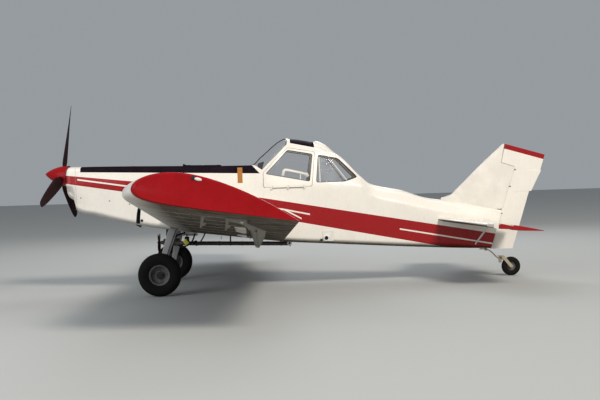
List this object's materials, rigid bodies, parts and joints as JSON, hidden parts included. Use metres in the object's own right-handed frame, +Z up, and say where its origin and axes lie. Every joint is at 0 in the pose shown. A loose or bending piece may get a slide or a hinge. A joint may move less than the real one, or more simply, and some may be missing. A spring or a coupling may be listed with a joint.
{
  "type": "light aircraft",
  "caption": "Low-wing single-seat farm aeroplane that stands on its tail wheel, with a hopper ahead of the raised cockpit and spray gear below.",
  "frame": {"origin": "on the ground, midway along the length and on the centre line", "axes": "+X aft towards the tail, +Y to starboard, +Z up; it stands as it parks, nose up on its main wheels and tail wheel"},
  "size_m": [8.3485, 11.82, 3.0526],
  "materials": {
    "white_paint": "warm white gloss paint, a little dusty and chalked",
    "red_paint": "deep red gloss paint, faded in places",
    "deck_black": "matt black anti-glare paint",
    "propeller_paint": "satin dark brown-black paint",
    "gear_paint": "light grey paint, scuffed",
    "tube_white": "white powder coat on steel tube",
    "inside_grey": "matt grey paint",
    "engine_metal": "dark oily cast metal",
    "bare_steel": "bare steel, dull",
    "gate_metal": "bare aluminium, dull",
    "rim_metal": "dark grey paint on cast wheel halves",
    "tank_plastic": "glass-fibre tank, unpainted",
    "panel_black": "matt black",
    "seat_fabric": "dark woven cloth",
    "clear_glass": "clear pane, slightly grey",
    "tyre_rubber": "black tyre, dusty sidewall"
  },
  "bodies": {
    "airframe": {"cowl": "white_paint", "engine_block": "engine_metal", "firewall": "bare_steel", "hopper_bay": "white_paint", "hopper_tank": "tank_plastic", "gate_box": "gate_metal", "cabin_shell": "white_paint", "cabin_floor": "inside_grey", "windscreen": "clear_glass", "skylight": "clear_glass", "rear_window_left": "clear_glass", "rear_window_right": "clear_glass", "instrument_panel": "panel_black", "seat_frame": "inside_grey", "seat_cushion": "seat_fabric", "seat_back": "seat_fabric", "control_stick": "panel_black", "roll_frame": "tube_white", "tail_cone": "white_paint", "fin": "white_paint", "wing_left": "white_paint", "wing_right": "white_paint", "wing_tip_left": "red_paint", "wing_tip_right": "red_paint", "stabiliser_left": "white_paint", "stabiliser_right": "white_paint", "tail_strut_left": "gear_paint", "tail_strut_right": "gear_paint", "gear_leg_left": "gear_paint", "gear_leg_right": "gear_paint", "axle_left": "bare_steel", "axle_right": "bare_steel", "tail_spring": "gear_paint", "spray_pump": "engine_metal", "belly_pipe": "engine_metal", "boom_hanger_left": "gear_paint", "boom_hanger_right": "gear_paint", "loading_port": "gate_metal"},
    "propeller": {"spinner": "red_paint", "propeller": "propeller_paint"},
    "hopper_lid": {"hopper_lid": "deck_black"},
    "gate_door": {"gate_door": "gate_metal"},
    "door_left": {"door_left": "white_paint", "door_glass_left": "clear_glass"},
    "door_right": {"door_right": "white_paint", "door_glass_right": "clear_glass"},
    "rudder": {"rudder": "white_paint"},
    "elevator": {"elevator": "white_paint"},
    "flap_left": {"flap_left": "white_paint"},
    "flap_right": {"flap_right": "white_paint"},
    "aileron_left": {"aileron_left": "white_paint"},
    "aileron_right": {"aileron_right": "white_paint"},
    "wheel_left": {"rim_left": "rim_metal", "tyre_left": "tyre_rubber"},
    "wheel_right": {"rim_right": "rim_metal", "tyre_right": "tyre_rubber"},
    "tail_fork": {"tail_fork": "bare_steel"},
    "tail_wheel": {"tail_rim": "rim_metal", "tail_tyre": "tyre_rubber"},
    "pump_fan": {"pump_fan": "red_paint"}
  },
  "joints": [
    {"name": "propeller_spin", "type": "hinge", "parent": "airframe", "child": "propeller", "pos_m": [-3.875, 0, 1.89535], "axis": [0.9887, -0.1004, -0.1115], "continuous": true},
    {"name": "wheel_left_spin", "type": "hinge", "parent": "airframe", "child": "wheel_left", "pos_m": [-2.216, -1.378, 0.326], "axis": [0, 1, 0], "continuous": true},
    {"name": "wheel_right_spin", "type": "hinge", "parent": "airframe", "child": "wheel_right", "pos_m": [-2.216, 1.378, 0.326], "axis": [0, 1, 0], "continuous": true},
    {"name": "tail_steering", "type": "hinge", "parent": "airframe", "child": "tail_fork", "pos_m": [3.365, 0, 0.28], "axis": [0, 0, 1], "range_deg": [-30, 30]},
    {"name": "tail_wheel_spin", "type": "hinge", "parent": "tail_fork", "child": "tail_wheel", "pos_m": [3.546, 0, 0.158], "axis": [0, 1, 0], "continuous": true},
    {"name": "pump_fan_spin", "type": "hinge", "parent": "airframe", "child": "pump_fan", "pos_m": [-2.333, 0, 0.742], "axis": [1, 0, 0], "continuous": true},
    {"name": "hopper_lid_hinge", "type": "hinge", "parent": "airframe", "child": "hopper_lid", "pos_m": [-1.887, 0, 2.017], "axis": [0, -1, 0], "range_deg": [0, 90]},
    {"name": "gate_door_hinge", "type": "hinge", "parent": "airframe", "child": "gate_door", "pos_m": [-1.939, 0, 0.852], "axis": [0, 1, 0], "range_deg": [0, 70]},
    {"name": "door_left_hinge", "type": "hinge", "parent": "airframe", "child": "door_left", "pos_m": [-0.21, -0.511, 1.6], "axis": [1, 0, 0], "range_deg": [0, 150]},
    {"name": "door_right_hinge", "type": "hinge", "parent": "airframe", "child": "door_right", "pos_m": [-0.21, 0.511, 1.6], "axis": [-1, 0, 0], "range_deg": [0, 150]},
    {"name": "rudder_hinge", "type": "hinge", "parent": "airframe", "child": "rudder", "pos_m": [3.21, 0, 0.474], "axis": [0.3221, 0, 0.9467], "range_deg": [-27, 27]},
    {"name": "elevator_hinge", "type": "hinge", "parent": "airframe", "child": "elevator", "pos_m": [3.095, 0, 0.89442], "axis": [0, 1, 0], "range_deg": [-27, 20]},
    {"name": "flap_right_hinge", "type": "hinge", "parent": "airframe", "child": "flap_right", "pos_m": [-0.78938, 1.7659, 1.01717], "axis": [0, 0.9959, 0.0903], "range_deg": [0, 30]},
    {"name": "flap_left_hinge", "type": "hinge", "parent": "airframe", "child": "flap_left", "pos_m": [-0.78938, -1.7659, 1.01717], "axis": [0, 0.9959, -0.0903], "range_deg": [0, 30]},
    {"name": "aileron_right_hinge", "type": "hinge", "parent": "airframe", "child": "aileron_right", "pos_m": [-0.78938, 4.07642, 1.22664], "axis": [0, 0.9959, 0.0903], "range_deg": [-20, 20]},
    {"name": "aileron_left_hinge", "type": "hinge", "parent": "airframe", "child": "aileron_left", "pos_m": [-0.78938, -4.07642, 1.22664], "axis": [0, 0.9959, -0.0903], "range_deg": [-20, 20]}
  ],
  "couplings": [
    {"joint": "flap_left_hinge", "follows": "flap_right_hinge", "ratio": 1},
    {"joint": "aileron_left_hinge", "follows": "aileron_right_hinge", "ratio": -1}
  ]
}
